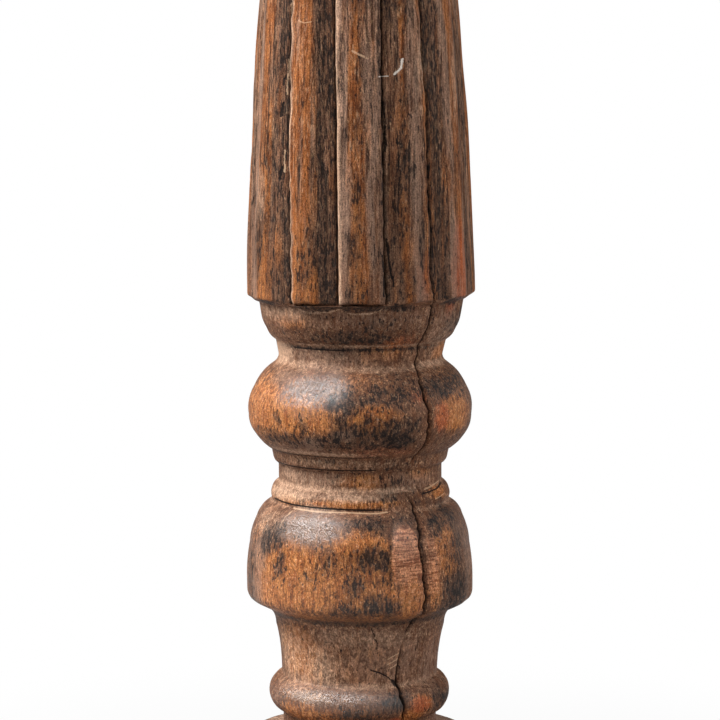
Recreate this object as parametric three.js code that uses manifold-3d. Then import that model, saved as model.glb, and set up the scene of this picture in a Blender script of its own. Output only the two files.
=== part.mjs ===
// A turned and reeded wooden pricket candlestick on a square plinth, with an iron drip pan and
// spike for a pillar candle.
// Millimetres, +Z up. The origin is the centre of the footprint, on the surface it stands on.
// -Y is the front. The post is one turned piece, and everything else is screwed or glued to it.

import * as THREE from 'three';
import { mergeVertices } from 'three/addons/utils/BufferGeometryUtils.js';
import Module from 'manifold-3d';

const wasm = await Module();
wasm.setup();

// ---- driving dimensions ----

const blankRadius = 38; // the post is turned from three-inch stock
const turningSegments = 36;
const smallSegments = 20;

const padHeight = 3;
const padRadius = 11;
const padOffset = 54;

const plinthWidth = 140;
const plinthHeight = 28;
const plinthCornerRadius = 4;
const plinthTop = padHeight + plinthHeight;

const reedsBottom = 202; // heights of the reeded part of the shaft
const reedsTop = 454;
const reedEndLength = 2.6;
const reedEndDrop = 3.6; // how far the reeds' ends are cut back towards the axis
const grooveDepth = 2.8;
const swellLength = 95; // the shaft's outline curves over this length, then runs straight
const swellDrop = 5.2;
const swellPower = 1.38;

// Grooves between the reeds, in degrees from the front, positive towards +X. They are unequal,
// because the reeds are carved by hand.
const grooveAngles = [-167, -137.5, -107.5, -78, -42, -12.6, 12.6, 39, 74, 104, 133, 163];

const postTop = 498;
const leatherThickness = 1.5;
const leatherRadius = 31;
const panSheet = 1.5;
const panFloorRadius = 44;
const panRadius = 52;
const panDepth = 9;
const panUnderside = postTop + leatherThickness;
const panFloor = panUnderside + panSheet;

const spikeTip = 560;
const spikeShankRadius = 3.5;
const spikeShankLength = 43;
const spikePointLength = 7;
const spikeCollarRadius = 8.5;

const panScrewCircle = 20;
const panScrewAngles = [90, 210, 330];
const panScrewHeadRadius = 3.8;
const panScrewHeadHeight = 2.3;
const panScrewRadius = 1.9;
const panScrewLength = 16;
const panScrewPointLength = 4;

const coachScrewRadius = 4;
const coachScrewHeadAcross = 15; // corner to corner
const coachScrewHeadHeight = 5.5;
const coachScrewEngagement = 42; // length inside the post
const coachScrewPointLength = 8;
const coachWasherRadius = 10.5;
const coachWasherThickness = 1.6;
const counterboreRadius = 12;
const counterboreDepth = 12;

const dowelRadius = 4;
const dowelOffset = 22;
const dowelHalfLength = 12.5;

const slipFit = 0.25; // radial gap between a shank or dowel and its hole
const holeEndGap = 0.8; // air left beyond the end of a shank or dowel

// ---- outlines of the turned post ----
// Each station is [radius, height, bulge]: the stretch that ends there swells outwards by bulge,
// or hollows inwards where bulge is negative, and is straight where there is none.

const lowerTurning = [
  [0, plinthTop],
  [37.2, plinthTop],
  [38, 32],
  [38, 35],
  [37, 36.2, 0.2],
  [34.5, 36.4],
  [34.5, 38.4],
  [38, 46, 0.8],
  [38, 52.4],
  [36.6, 54.6, 0.4],
  [27, 55.9],
  [25.8, 58.2, -0.5],
  [25.8, 63.4],
  [26.1, 75.8, 4.5],
  [28.2, 92.8, -0.55],
  [31.2, 99, -0.8],
  [35.6, 101.1],
  [37.8, 104.5, 0.55],
  [37.8, 108],
  [36.8, 120.5, 0.3],
  [34.5, 129.2, 0.5],
  [30.2, 134.4, 0.8],
  [29.4, 135.2],
  [29.6, 138.4, 0.4],
  [27.2, 141.4, 0.5],
  [27.2, 147.6],
  [28.9, 148.9, 0.3],
  [29.6, 152.3, -0.1],
  [35.3, 157.7, 0.5],
  [37.2, 163.8, 0.55],
  [35.5, 172.8, 0.85],
  [28.6, 181, 0.8],
  [27.1, 183.6, -0.3],
  [28.3, 188.8],
  [31.4, 192.6, 0.5],
  [33.2, 197.4, 0.3],
  [34, reedsBottom + 0.6],
  [28, reedsBottom + 12],
  [0, reedsBottom + 12],
];

const upperTurning = [
  [0, reedsTop - 10],
  [16, reedsTop - 10],
  [20.4, reedsTop - 0.6],
  [21.4, reedsTop + 1],
  [21.4, reedsTop + 9, 3.9],
  [19.8, reedsTop + 10.2],
  [19.4, reedsTop + 12],
  [19.6, reedsTop + 20, -0.6],
  [21.8, reedsTop + 21.2],
  [22.2, reedsTop + 24.2, 0.5],
  [35.4, reedsTop + 36.4, 2.6],
  [37.4, reedsTop + 37],
  [37.4, postTop - 2.4, 0.6],
  [35.6, postTop, 0.4],
  [0, postTop],
];

// ---- helpers ----

const onLathe = (radius, height) => new THREE.Vector2(radius, height);

// The points of a circular arc from one point to another, without its first point.
function arcPoints(from, to, bulge) {
  const chord = to.clone().sub(from);
  const outwards = new THREE.Vector2(chord.y, -chord.x).normalize();
  const arcRadius = (chord.lengthSq() / 4 + bulge * bulge) / (2 * Math.abs(bulge));
  const middle = from.clone().add(to).multiplyScalar(0.5);
  const centre = middle.addScaledVector(outwards, bulge - Math.sign(bulge) * arcRadius);
  const start = from.clone().sub(centre).angle();
  let sweep = to.clone().sub(centre).angle() - start;
  if (sweep > Math.PI) sweep -= 2 * Math.PI;
  if (sweep < -Math.PI) sweep += 2 * Math.PI;
  const steps = Math.max(2, Math.ceil(Math.abs(sweep) / (Math.PI / 7)));
  const points = [];
  for (let step = 1; step <= steps; step += 1) {
    const angle = start + (sweep * step) / steps;
    points.push(onLathe(centre.x + arcRadius * Math.cos(angle), centre.y + arcRadius * Math.sin(angle)));
  }
  return points;
}

// The lathe points of an outline of [radius, height, bulge] stations.
function outlinePoints(stations) {
  const points = [];
  for (const [radius, height, bulge = 0] of stations) {
    const point = onLathe(radius, height);
    if (bulge === 0) points.push(point);
    else points.push(...arcPoints(points[points.length - 1], point, bulge));
  }
  return points;
}

// A turned geometry about the Z axis. Its outline runs upwards on the outside.
function turned(stations, segments = turningSegments) {
  const geometry = new THREE.LatheGeometry(outlinePoints(stations), segments);
  return geometry.rotateX(Math.PI / 2);
}

function solidOf(geometry) {
  const bare = geometry.clone();
  bare.deleteAttribute('normal');
  bare.deleteAttribute('uv');
  const merged = mergeVertices(bare, 1e-4);
  const corners = merged.index.array;
  const triVerts = [];
  for (let corner = 0; corner < corners.length; corner += 3) {
    const [a, b, c] = corners.slice(corner, corner + 3);
    const hasArea = a !== b && b !== c && c !== a;
    if (hasArea) triVerts.push(a, b, c);
  }
  const vertProperties = new Float32Array(merged.attributes.position.array);
  return new wasm.Manifold(
    new wasm.Mesh({ numProp: 3, vertProperties, triVerts: new Uint32Array(triVerts) }),
  );
}

function geometryOf(solid) {
  const mesh = solid.getMesh();
  const geometry = new THREE.BufferGeometry();
  geometry.setAttribute('position', new THREE.BufferAttribute(new Float32Array(mesh.vertProperties), 3));
  geometry.setIndex(Array.from(mesh.triVerts));
  return geometry;
}

// A cylinder between two heights, for a hole or a plain shank.
function upright(radius, bottom, top, x = 0, y = 0) {
  const stations = [[0, bottom], [radius, bottom], [radius, top], [0, top]];
  return turned(stations, smallSegments).translate(x, y, 0);
}

function drilled(solid, holes) {
  return holes.reduce((remaining, hole) => remaining.subtract(solidOf(hole)), solid);
}

// The x and y of a point on a circle about the axis, at an angle in degrees from +X.
function onCircle(radius, degrees) {
  const angle = THREE.MathUtils.degToRad(degrees);
  return [radius * Math.cos(angle), radius * Math.sin(angle)];
}

// ---- post ----

// The radius of the reeds' crowns: a swelling curve low down, then a straight taper.
function shaftRadius(height) {
  const along = (height - reedsBottom - reedEndLength) / swellLength;
  if (along <= 0) return blankRadius;
  if (along < 1) return blankRadius - swellDrop * along ** swellPower;
  return blankRadius - swellDrop * (1 + swellPower * (along - 1));
}

// The section across the shaft at full radius: a crowned reed between each two grooves.
function reedSection() {
  const crown = [[0, grooveDepth], [0.13, 0.9], [0.34, 0.15], [0.66, 0.15], [0.87, 0.9]];
  const points = [];
  grooveAngles.forEach((angle, index) => {
    const next = grooveAngles[index + 1] ?? grooveAngles[0] + 360;
    for (const [across, drop] of crown) {
      const [x, y] = onCircle(blankRadius - drop, angle + (next - angle) * across - 90);
      points.push(new THREE.Vector2(x, y));
    }
  });
  return new THREE.Shape(points);
}

function reededShaft() {
  const lowFull = reedsBottom + reedEndLength;
  const highFull = reedsTop - reedEndLength;
  const heights = [reedsBottom, lowFull, 220, 245, 272, lowFull + swellLength, highFull, reedsTop];
  const radii = heights.map(shaftRadius);
  radii[0] -= reedEndDrop;
  radii[radii.length - 1] -= reedEndDrop / 2;
  const steps = heights.length - 1;
  const geometry = new THREE.ExtrudeGeometry(reedSection(), { depth: 1, steps, bevelEnabled: false });
  const position = geometry.attributes.position;
  for (let vertex = 0; vertex < position.count; vertex += 1) {
    const level = Math.round(position.getZ(vertex) * steps);
    const scale = radii[level] / blankRadius;
    position.setXYZ(vertex, position.getX(vertex) * scale, position.getY(vertex) * scale, heights[level]);
  }
  return geometry;
}

function postGeometry() {
  const wood = solidOf(turned(lowerTurning))
    .add(solidOf(reededShaft()))
    .add(solidOf(turned(upperTurning)));
  const spikeHoleBottom = panFloor - spikeShankLength - holeEndGap;
  const holes = [
    upright(coachScrewRadius + slipFit, plinthTop - 1, plinthTop + coachScrewEngagement + holeEndGap),
    upright(spikeShankRadius + slipFit, spikeHoleBottom, postTop + 1),
  ];
  for (const side of [-1, 1]) {
    const holeTop = plinthTop + dowelHalfLength + holeEndGap;
    holes.push(upright(dowelRadius + slipFit, plinthTop - 1, holeTop, side * dowelOffset));
  }
  for (const angle of panScrewAngles) {
    const [x, y] = onCircle(panScrewCircle, angle);
    const holeBottom = panFloor - panScrewLength - holeEndGap;
    holes.push(upright(panScrewRadius + slipFit, holeBottom, postTop + 1, x, y));
  }
  return geometryOf(drilled(wood, holes));
}

// ---- plinth, its fixings and its feet ----

// The moulded side of the plinth: a plain lower band, a small step, and a quarter round.
function plinthBar() {
  const half = plinthWidth / 2;
  const bandTop = padHeight + 18;
  const step = 1.6;
  const roundWidth = 8;
  const outline = new THREE.Shape();
  outline.moveTo(-half + 1, padHeight);
  outline.lineTo(half - 1, padHeight);
  outline.lineTo(half, padHeight + 1);
  outline.lineTo(half, bandTop);
  outline.lineTo(half - step, bandTop + 1);
  const roundBottom = bandTop + 1;
  const roundHeight = plinthTop - roundBottom;
  const roundCentre = half - step - roundWidth;
  outline.absellipse(roundCentre, roundBottom, roundWidth, roundHeight, 0, Math.PI / 2, false, 0);
  outline.absellipse(-roundCentre, roundBottom, roundWidth, roundHeight, Math.PI / 2, Math.PI, false, 0);
  outline.lineTo(-half, bandTop);
  outline.lineTo(-half, padHeight + 1);
  const bar = new THREE.ExtrudeGeometry(outline, {
    depth: plinthWidth + 2, bevelEnabled: false, curveSegments: 5,
  });
  return bar.translate(0, 0, -plinthWidth / 2 - 1).rotateX(Math.PI / 2);
}

function roundedSquarePrism() {
  const straight = plinthWidth / 2 - plinthCornerRadius;
  const outline = new THREE.Shape();
  outline.absarc(straight, straight, plinthCornerRadius, 0, Math.PI / 2, false);
  outline.absarc(-straight, straight, plinthCornerRadius, Math.PI / 2, Math.PI, false);
  outline.absarc(-straight, -straight, plinthCornerRadius, Math.PI, 1.5 * Math.PI, false);
  outline.absarc(straight, -straight, plinthCornerRadius, 1.5 * Math.PI, 2 * Math.PI, false);
  const depth = plinthTop + 2;
  return new THREE.ExtrudeGeometry(outline, { depth, bevelEnabled: false, curveSegments: 4 });
}

function plinthGeometry() {
  const wood = solidOf(plinthBar())
    .intersect(solidOf(plinthBar().rotateZ(Math.PI / 2)))
    .intersect(solidOf(roundedSquarePrism()));
  const dowelHoleBottom = plinthTop - dowelHalfLength - holeEndGap;
  const holes = [
    upright(counterboreRadius, padHeight - 1, padHeight + counterboreDepth),
    upright(coachScrewRadius + slipFit, padHeight, plinthTop + 1),
    upright(dowelRadius + slipFit, dowelHoleBottom, plinthTop + 1, -dowelOffset),
    upright(dowelRadius + slipFit, dowelHoleBottom, plinthTop + 1, dowelOffset),
  ];
  return geometryOf(drilled(wood, holes));
}

function coachWasherGeometry() {
  const top = padHeight + counterboreDepth;
  const bottom = top - coachWasherThickness;
  const hole = coachScrewRadius + slipFit;
  return turned([
    [hole, bottom],
    [coachWasherRadius, bottom],
    [coachWasherRadius, top],
    [hole, top],
    [hole, bottom],
  ], smallSegments);
}

function coachScrewGeometry() {
  const seat = padHeight + counterboreDepth - coachWasherThickness;
  const tip = plinthTop + coachScrewEngagement;
  const head = new THREE.CylinderGeometry(
    coachScrewHeadAcross / 2, coachScrewHeadAcross / 2, coachScrewHeadHeight, 6,
  );
  head.rotateX(Math.PI / 2).translate(0, 0, seat - coachScrewHeadHeight / 2);
  const shank = turned([
    [0, seat - 1],
    [coachScrewRadius, seat - 1],
    [coachScrewRadius, tip - coachScrewPointLength],
    [1, tip],
    [0, tip],
  ], smallSegments);
  return geometryOf(solidOf(head).add(solidOf(shank)));
}

function dowelGeometry(side) {
  const chamfer = 1;
  const bottom = plinthTop - dowelHalfLength;
  const top = plinthTop + dowelHalfLength;
  return turned([
    [0, bottom],
    [dowelRadius - chamfer, bottom],
    [dowelRadius, bottom + chamfer],
    [dowelRadius, top - chamfer],
    [dowelRadius - chamfer, top],
    [0, top],
  ], smallSegments).translate(side * dowelOffset, 0, 0);
}

function padGeometry(xSide, ySide) {
  const pad = [[0, 0], [padRadius - 0.4, 0], [padRadius, 0.5], [padRadius, padHeight], [0, padHeight]];
  return turned(pad, smallSegments).translate(xSide * padOffset, ySide * padOffset, 0);
}

// ---- drip pan, its washer, its screws and the spike ----

function panHoles(bottom, top) {
  const holes = [upright(spikeShankRadius + slipFit, bottom, top)];
  for (const angle of panScrewAngles) {
    const [x, y] = onCircle(panScrewCircle, angle);
    holes.push(upright(panScrewRadius + slipFit, bottom, top, x, y));
  }
  return holes;
}

function leatherGeometry() {
  const disc = [[0, postTop], [leatherRadius, postTop], [leatherRadius, panUnderside], [0, panUnderside]];
  return geometryOf(drilled(solidOf(turned(disc)), panHoles(postTop - 1, panUnderside + 1)));
}

// A dished sheet: a flat floor, a flared wall and a rolled rim.
function dripPanGeometry() {
  const clearOfScrews = panScrewCircle + panScrewHeadRadius + 2;
  const rimTop = panUnderside + panDepth;
  const sheet = [
    [0, panUnderside],
    [panFloorRadius - 1, panUnderside],
    [panFloorRadius + 2.4, panUnderside + 1.2, 0.3],
    [panRadius - 1.6, rimTop - 2.4],
    [panRadius, rimTop - 1.2, 0.3],
    [panRadius - 1.2, rimTop, 0.5],
    [panRadius - 2.6, rimTop - 1, 0.4],
    [panFloorRadius + 1, panFloor + 1],
    [panFloorRadius - 1.4, panFloor, -0.25],
    [clearOfScrews, panFloor],
    [spikeCollarRadius, panFloor],
    [0, panFloor],
  ];
  return geometryOf(drilled(solidOf(turned(sheet)), panHoles(panUnderside - 1, panFloor + 1)));
}

function spikeGeometry() {
  const shankBottom = panFloor - spikeShankLength;
  return turned([
    [0, shankBottom],
    [1, shankBottom],
    [spikeShankRadius, shankBottom + spikePointLength],
    [spikeShankRadius, panFloor],
    [spikeCollarRadius - 0.2, panFloor],
    [spikeCollarRadius, panFloor + 1],
    [5.2, panFloor + 3.4, 0.5],
    [4, panFloor + 4.4, -0.3],
    [3.4, panFloor + 12],
    [0.4, spikeTip - 0.3],
    [0, spikeTip],
  ], smallSegments);
}

function panScrewGeometry(angle) {
  const slotWidth = 0.9;
  const slotDepth = 1;
  const tip = panFloor - panScrewLength;
  const screw = solidOf(turned([
    [0, tip],
    [panScrewRadius, tip + panScrewPointLength],
    [panScrewRadius, panFloor],
    [panScrewHeadRadius, panFloor],
    [panScrewHeadRadius - 0.3, panFloor + 0.8],
    [0, panFloor + panScrewHeadHeight, 0.45],
  ], smallSegments));
  const slot = new THREE.BoxGeometry(2 * panScrewHeadRadius + 1, slotWidth, slotDepth * 2);
  slot.rotateZ(THREE.MathUtils.degToRad(angle * 1.7)).translate(0, 0, panFloor + panScrewHeadHeight);
  const [x, y] = onCircle(panScrewCircle, angle);
  return geometryOf(screw.subtract(solidOf(slot))).translate(x, y, 0);
}

// ---- assembly ----

const finishes = {
  postWood: { color: 0x5b3a28, roughness: 0.55, metalness: 0 },
  plinthWood: { color: 0x49301f, roughness: 0.6, metalness: 0 },
  dowelWood: { color: 0xb8925f, roughness: 0.8, metalness: 0 },
  iron: { color: 0x2b2927, roughness: 0.6, metalness: 0.8 },
  steel: { color: 0x8d8c88, roughness: 0.4, metalness: 1 },
  leather: { color: 0x6a452c, roughness: 0.8, metalness: 0 },
  felt: { color: 0x2d3b30, roughness: 1, metalness: 0 },
};

const group = new THREE.Group();

function addPiece(name, geometry, finish) {
  const mesh = new THREE.Mesh(geometry, new THREE.MeshStandardMaterial(finishes[finish]));
  mesh.name = name;
  group.add(mesh);
}

addPiece('post', postGeometry(), 'postWood');
addPiece('plinth', plinthGeometry(), 'plinthWood');
addPiece('plinth_coach_screw', coachScrewGeometry(), 'steel');
addPiece('plinth_coach_screw_washer', coachWasherGeometry(), 'steel');
addPiece('locating_dowel_left', dowelGeometry(-1), 'dowelWood');
addPiece('locating_dowel_right', dowelGeometry(1), 'dowelWood');
addPiece('felt_pad_front_left', padGeometry(-1, -1), 'felt');
addPiece('felt_pad_front_right', padGeometry(1, -1), 'felt');
addPiece('felt_pad_back_left', padGeometry(-1, 1), 'felt');
addPiece('felt_pad_back_right', padGeometry(1, 1), 'felt');
addPiece('pan_leather', leatherGeometry(), 'leather');
addPiece('drip_pan', dripPanGeometry(), 'iron');
addPiece('pricket_spike', spikeGeometry(), 'iron');
panScrewAngles.forEach((angle, index) => {
  addPiece(`pan_screw_${index + 1}`, panScrewGeometry(angle), 'steel');
});

export default group;
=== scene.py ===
"""Looks of an old turned and reeded wooden candlestick on a plinth, with an iron drip pan and spike.

Lengths inside the shape functions are in millimetres, heights are above the surface it stands on,
and angles are in degrees from the front (-Y), positive towards +X. Meshes are made in metres.
"""
import math
from functools import cached_property
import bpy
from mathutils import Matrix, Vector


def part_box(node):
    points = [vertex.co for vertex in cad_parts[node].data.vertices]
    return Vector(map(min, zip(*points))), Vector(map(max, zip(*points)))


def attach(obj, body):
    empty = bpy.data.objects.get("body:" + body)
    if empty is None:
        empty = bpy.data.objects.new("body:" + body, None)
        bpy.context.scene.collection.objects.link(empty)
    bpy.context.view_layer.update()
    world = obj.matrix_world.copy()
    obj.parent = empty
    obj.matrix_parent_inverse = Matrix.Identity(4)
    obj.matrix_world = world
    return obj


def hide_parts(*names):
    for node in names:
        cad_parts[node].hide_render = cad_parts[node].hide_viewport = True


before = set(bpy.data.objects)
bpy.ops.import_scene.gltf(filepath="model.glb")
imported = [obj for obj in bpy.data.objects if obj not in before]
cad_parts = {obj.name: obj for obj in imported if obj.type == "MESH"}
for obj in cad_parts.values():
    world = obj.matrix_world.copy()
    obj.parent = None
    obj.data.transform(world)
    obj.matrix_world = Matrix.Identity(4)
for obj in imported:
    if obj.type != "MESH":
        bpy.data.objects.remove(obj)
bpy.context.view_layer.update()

from types import SimpleNamespace

import bpy
import numpy as np
from mathutils import Matrix, Vector, noise

MM = 0.001


# ---- places read from the frame, in millimetres ----

def node_heights(node):
    """The heights of a node's bottom and top."""
    low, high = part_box(node)
    return low[2] / MM, high[2] / MM


def node_radius(node):
    low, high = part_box(node)
    return (high[0] - low[0]) / 2 / MM


def node_centre(node):
    low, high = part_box(node)
    return [(low[axis] + high[axis]) / 2 / MM for axis in (0, 1)]


PLINTH_BOTTOM, PLINTH_TOP = node_heights("plinth")
PLINTH_HALF = node_radius("plinth")
PLINTH_BORE = 12
PLINTH_CORNER = 4
PLINTH_BAND = PLINTH_BOTTOM + 18
POST_TOP = node_heights("post")[1]
BLANK_RADIUS = node_radius("post")
PAN_BOTTOM, PAN_TOP = node_heights("drip_pan")
PAN_RADIUS = node_radius("drip_pan")
PAN_SHEET = 1.5
PAN_FLOOR = PAN_BOTTOM + PAN_SHEET
SPIKE_TIP = node_heights("pricket_spike")[1]
REEDS_BOTTOM = PLINTH_TOP + 171
REEDS_TOP = POST_TOP - 44


# ---- mesh helpers ----

def placed(name, data):
    """A new object in the scene."""
    piece = bpy.data.objects.new(name, data)
    bpy.context.scene.collection.objects.link(piece)
    return piece


def ring_mesh(name, points, values=None):
    """A closed mesh from rows of points round an axis. Rows run upwards on the outside, columns run
    anticlockwise seen from above, and both end rows are closed with a fan."""
    rows, columns, _ = points.shape
    vertices = np.concatenate([
        points.reshape(-1, 3), points[0].mean(0)[None], points[-1].mean(0)[None]
    ])
    here = np.arange(rows * columns).reshape(rows, columns)
    beside = np.roll(here, -1, axis=1)
    quads = np.stack([here[:-1], beside[:-1], beside[1:], here[1:]], -1).reshape(-1, 4)
    first, last = np.full((2, columns), [[rows * columns], [rows * columns + 1]])
    bottom_fan = np.stack([first, beside[0], here[0]], -1)
    top_fan = np.stack([last, here[-1], beside[-1]], -1)
    mesh = bpy.data.meshes.new(name)
    faces = quads.tolist() + bottom_fan.tolist() + top_fan.tolist()
    mesh.from_pydata((vertices * MM).tolist(), [], faces)
    mesh.shade_smooth()
    for key, field in (values or {}).items():
        ends = [field[0].mean(), field[-1].mean()]
        attribute = mesh.attributes.new(key, "FLOAT", "POINT")
        attribute.data.foreach_set("value", np.append(field.reshape(-1), ends).astype(np.float32))
    return placed(name, mesh)


def install(piece, node, material):
    """Lets a new piece stand for its CAD node."""
    piece.data.materials.append(material)
    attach(piece, "root")
    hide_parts(node)


def arc(start, end, bulge, step=0.4):
    """Points of an arc from start to end, without start. A positive bulge swells outwards."""
    start, end = np.array(start, float), np.array(end, float)
    chord = end - start
    length = np.hypot(*chord)
    outwards = np.array([chord[1], -chord[0]]) / length
    radius = (length ** 2 / 4 + bulge ** 2) / (2 * abs(bulge))
    side = math.copysign(1, bulge)
    centre = (start + end) / 2 + outwards * (bulge - side * radius)
    first = math.atan2(*(start - centre)[::-1])
    sweep = math.atan2(*(end - centre)[::-1]) - first
    sweep -= 2 * math.pi * round(sweep / (2 * math.pi))
    count = max(2, round(abs(sweep) * radius / step))
    angles = first + sweep * np.arange(1, count + 1) / count
    return centre + radius * np.stack([np.cos(angles), np.sin(angles)], -1)


def outline(stations, rounding, step=0.1):
    """Evenly spaced points along a chain of (radius, height, bulge) stations, its corners rounded."""
    corners = [np.array(stations[0][:2], float)]
    for radius, height, *bulge in stations[1:]:
        if bulge:
            corners.extend(arc(corners[-1], (radius, height), bulge[0]))
        else:
            corners.append(np.array([radius, height], float))
    corners = np.array(corners)
    lengths = np.hypot(*np.diff(corners, axis=0).T)
    along = np.concatenate([[0], np.cumsum(lengths)])
    even = np.arange(0, along[-1], step)
    points = np.stack([np.interp(even, along, corners[:, axis]) for axis in (0, 1)], -1)
    reach = int(3 * rounding / step)
    kernel = np.exp(-0.5 * (np.arange(-reach, reach + 1) * step / rounding) ** 2)
    padded = np.pad(points, ((reach, reach), (0, 0)), mode="reflect", reflect_type="odd")
    return np.stack([
        np.convolve(padded[:, axis], kernel / kernel.sum(), "valid") for axis in (0, 1)
    ], -1)


def chosen_rows(points, spacing, finest=0.4):
    """Picks points off a dense outline, closer together where it bends."""
    ahead = np.diff(points, axis=0, append=points[-1:] * 2 - points[-2:-1])
    step = np.hypot(*ahead.T)
    heading = np.unwrap(np.arctan2(ahead[:, 1], ahead[:, 0]))
    bend = np.abs(np.gradient(heading)) / step
    bend = np.convolve(bend, np.ones(7) / 7, "same")
    gap = np.clip(spacing / (1 + 2.5 * bend), finest, None)
    count = np.cumsum(step / gap)
    picks = np.unique(np.floor(count), return_index=True)[1]
    return points[picks]


def around_axis(radius, degrees, height):
    """Points from radius and angle fields, with the front at -Y."""
    angle = np.radians(degrees)
    return np.stack(np.broadcast_arrays(
        radius * np.sin(angle), -radius * np.cos(angle), height
    ), -1)


def noise_field(points, across, along, seed):
    """Smooth noise from -1 to 1 at each point, drawn out along Z."""
    scaled = points / np.array([across, across, along]) + seed * 7.31
    values = [noise.noise(Vector(place)) for place in scaled.reshape(-1, 3)]
    return np.array(values).reshape(points.shape[:-1])


def soft_step(value, low, high):
    share = np.clip((value - low) / (high - low), 0, 1)
    return share * share * (3 - 2 * share)


def looked_up(table, places):
    """Values at some places, from a table of (place, value) rows."""
    stops, values = np.array(table, float).T
    return np.interp(places, stops, values)


def swept(rows, degrees):
    """Rows of (radius, height), turned through each angle."""
    return around_axis(rows[:, :1] + 0 * degrees, degrees, rows[:, 1:] + 0 * degrees)


def turned_piece(name, stations, segments, spacing, rounding, dents, seed):
    """A lathe piece with rounded corners and a slightly uneven surface."""
    rows = chosen_rows(outline(stations, rounding, 0.05), spacing, 0.15)
    points = swept(rows, np.arange(segments) * 360 / segments)
    depth = dents * noise_field(points, 9, 9, seed) / np.maximum(rows[:, :1], 4)
    points[..., :2] *= 1 + depth[..., None]
    return ring_mesh(name, points)


# ---- the post's shape ----

LOWER_TURNING = [
    (0.5, 31), (37.2, 31), (38, 32), (38, 35), (37, 36.2, 0.2), (34.5, 36.4), (34.5, 38.4),
    (38, 46, 0.8), (38, 52.4), (36.6, 54.6, 0.4), (27, 55.9), (25.8, 58.2, -0.5), (25.8, 63.4),
    (26.1, 75.8, 4.5), (28.2, 92.8, -0.55), (31.2, 99, -0.8), (35.6, 101.1), (37.8, 104.5, 0.55),
    (37.8, 108), (36.8, 120.5, 0.3), (34.5, 129.2, 0.5), (30.2, 134.4, 0.8), (29.4, 135.2),
    (29.6, 138.4, 0.4), (27.2, 141.4, 0.5), (27.2, 147.6), (28.9, 148.9, 0.3), (29.6, 152.3),
    (35.3, 157.7, 0.5), (37.2, 163.8, 0.55), (35.5, 172.8, 0.85), (28.6, 181, 0.8),
    (27.1, 183.6, -0.3), (28.3, 188.8), (31.4, 192.6, 0.5), (33.2, 197.4, 0.3), (34, 202.4),
]
UPPER_TURNING = [
    (20.4, 453.6), (21.4, 455), (21.4, 463, 3.9), (19.8, 464.2), (19.4, 466), (19.6, 474, -0.6),
    (21.8, 475.2), (22.2, 478.2, 0.5), (35.4, 490.4, 2.6), (37.4, 491), (37.4, 495.6, 0.6),
    (35.6, 498, 0.4), (0.5, 498),
]
SWELL_LENGTH = 95
SWELL_DROP = 5.2
SWELL_POWER = 1.38
REED_END = 2.4

# Each groove's path: (height, angle) stations. One of them goes on below the reeds as a split.
# Most grooves are nearly straight, and the ragged ones wander this many degrees.
SPLIT = 7
RAGGED_GROOVES = {4: 1.1, 6: 0.8, SPLIT: 1.4}
GROOVES = [
    [(0, -167)], [(0, -137.5)], [(0, -107.5)], [(0, -78)],
    [(204, -38.8), (235, -40.9), (262, -42), (300, -43.6), (454, -43)],
    [(204, -11.4), (300, -13.8), (454, -14.2)],
    [(204, 12.3), (300, 12.7), (454, 12.8)],
    [(31, 32), (52, 31), (65, 30.5), (72, 28.5), (75, 28.5), (77, 26.5), (89.5, 30.5), (93, 32.5),
     (99, 36), (104, 34.5), (108, 36), (113, 34), (118, 33.5), (123, 32.5), (128, 34.8), (136, 36),
     (140, 31.5), (150, 34), (154, 36.8), (164, 37.8), (172, 36.5), (177, 36.5), (185, 43),
     (190, 41.5), (195.5, 42.5), (201.5, 44), (205, 40), (214, 37.5), (223, 38.8), (237, 38.2),
     (264, 39), (278, 37.8), (300, 37.8), (360, 39.5), (454, 38)],
    [(0, 74)], [(0, 104)], [(0, 133)], [(0, 163)],
]

# How deep the carving goes below the crown, across each reed from its left groove to its right one.
PLAIN_REED = [(0, 3), (0.04, 1.5), (0.12, 0.7), (0.3, 0.15), (0.5, 0), (0.7, 0.2), (0.88, 0.9),
              (0.96, 1.6), (1, 3)]
HOLLOW_REED = [(0, 3), (0.03, 1.8), (0.1, 1.5), (0.28, 1.1), (0.42, 0.4), (0.55, 0), (0.75, 0.2),
               (0.9, 0.7), (0.96, 1.3), (1, 3)]
REEDS = [
    PLAIN_REED, HOLLOW_REED, PLAIN_REED,
    [(0, 2.6), (0.06, 1.1), (0.22, 0.45), (0.34, 0.35), (0.38, 0), (0.52, 0.2), (0.7, 1), (0.88, 1.6),
     (0.97, 2), (1, 3.2)],
    [(0, 3.2), (0.03, 1.5), (0.09, 0.7), (0.25, 0.1), (0.45, 0.05), (0.57, 0.4), (0.65, 1.2),
     (0.8, 2), (0.93, 2.4), (0.98, 2.7), (1, 3.8)],
    [(0, 3.8), (0.025, 1.2), (0.08, 0.45), (0.25, 0.1), (0.5, 0), (0.75, 0.2), (0.9, 0.55),
     (0.97, 0.9), (1, 4.2)],
    [(0, 4.2), (0.04, 3), (0.12, 2.6), (0.3, 2), (0.44, 1.3), (0.56, 0.4), (0.68, 0.05), (0.84, 0.3),
     (0.94, 0.8), (0.975, 1.2), (1, 3.2)],
    [(0, 3.2), (0.03, 2), (0.1, 1.8), (0.2, 1.5), (0.31, 0.6), (0.4, 0.1), (0.52, 0), (0.74, 0.3),
     (0.88, 0.9), (0.97, 1.4), (1, 2.8)],
    HOLLOW_REED, PLAIN_REED, HOLLOW_REED, PLAIN_REED,
]
# These reeds end in a lens-shaped facet, which runs down and inwards onto the turning below.
LENS_REEDS = [4, 5]
LENS_SLOPE = 1.4
LENS_CURL = 1.4
LENS_DEPTH = 0.7
# These reeds have a painted highlight down their left edge, where it catches the light from the left, in
# the dusty tan colour.
PALE_EDGED = [4, 5]
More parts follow.
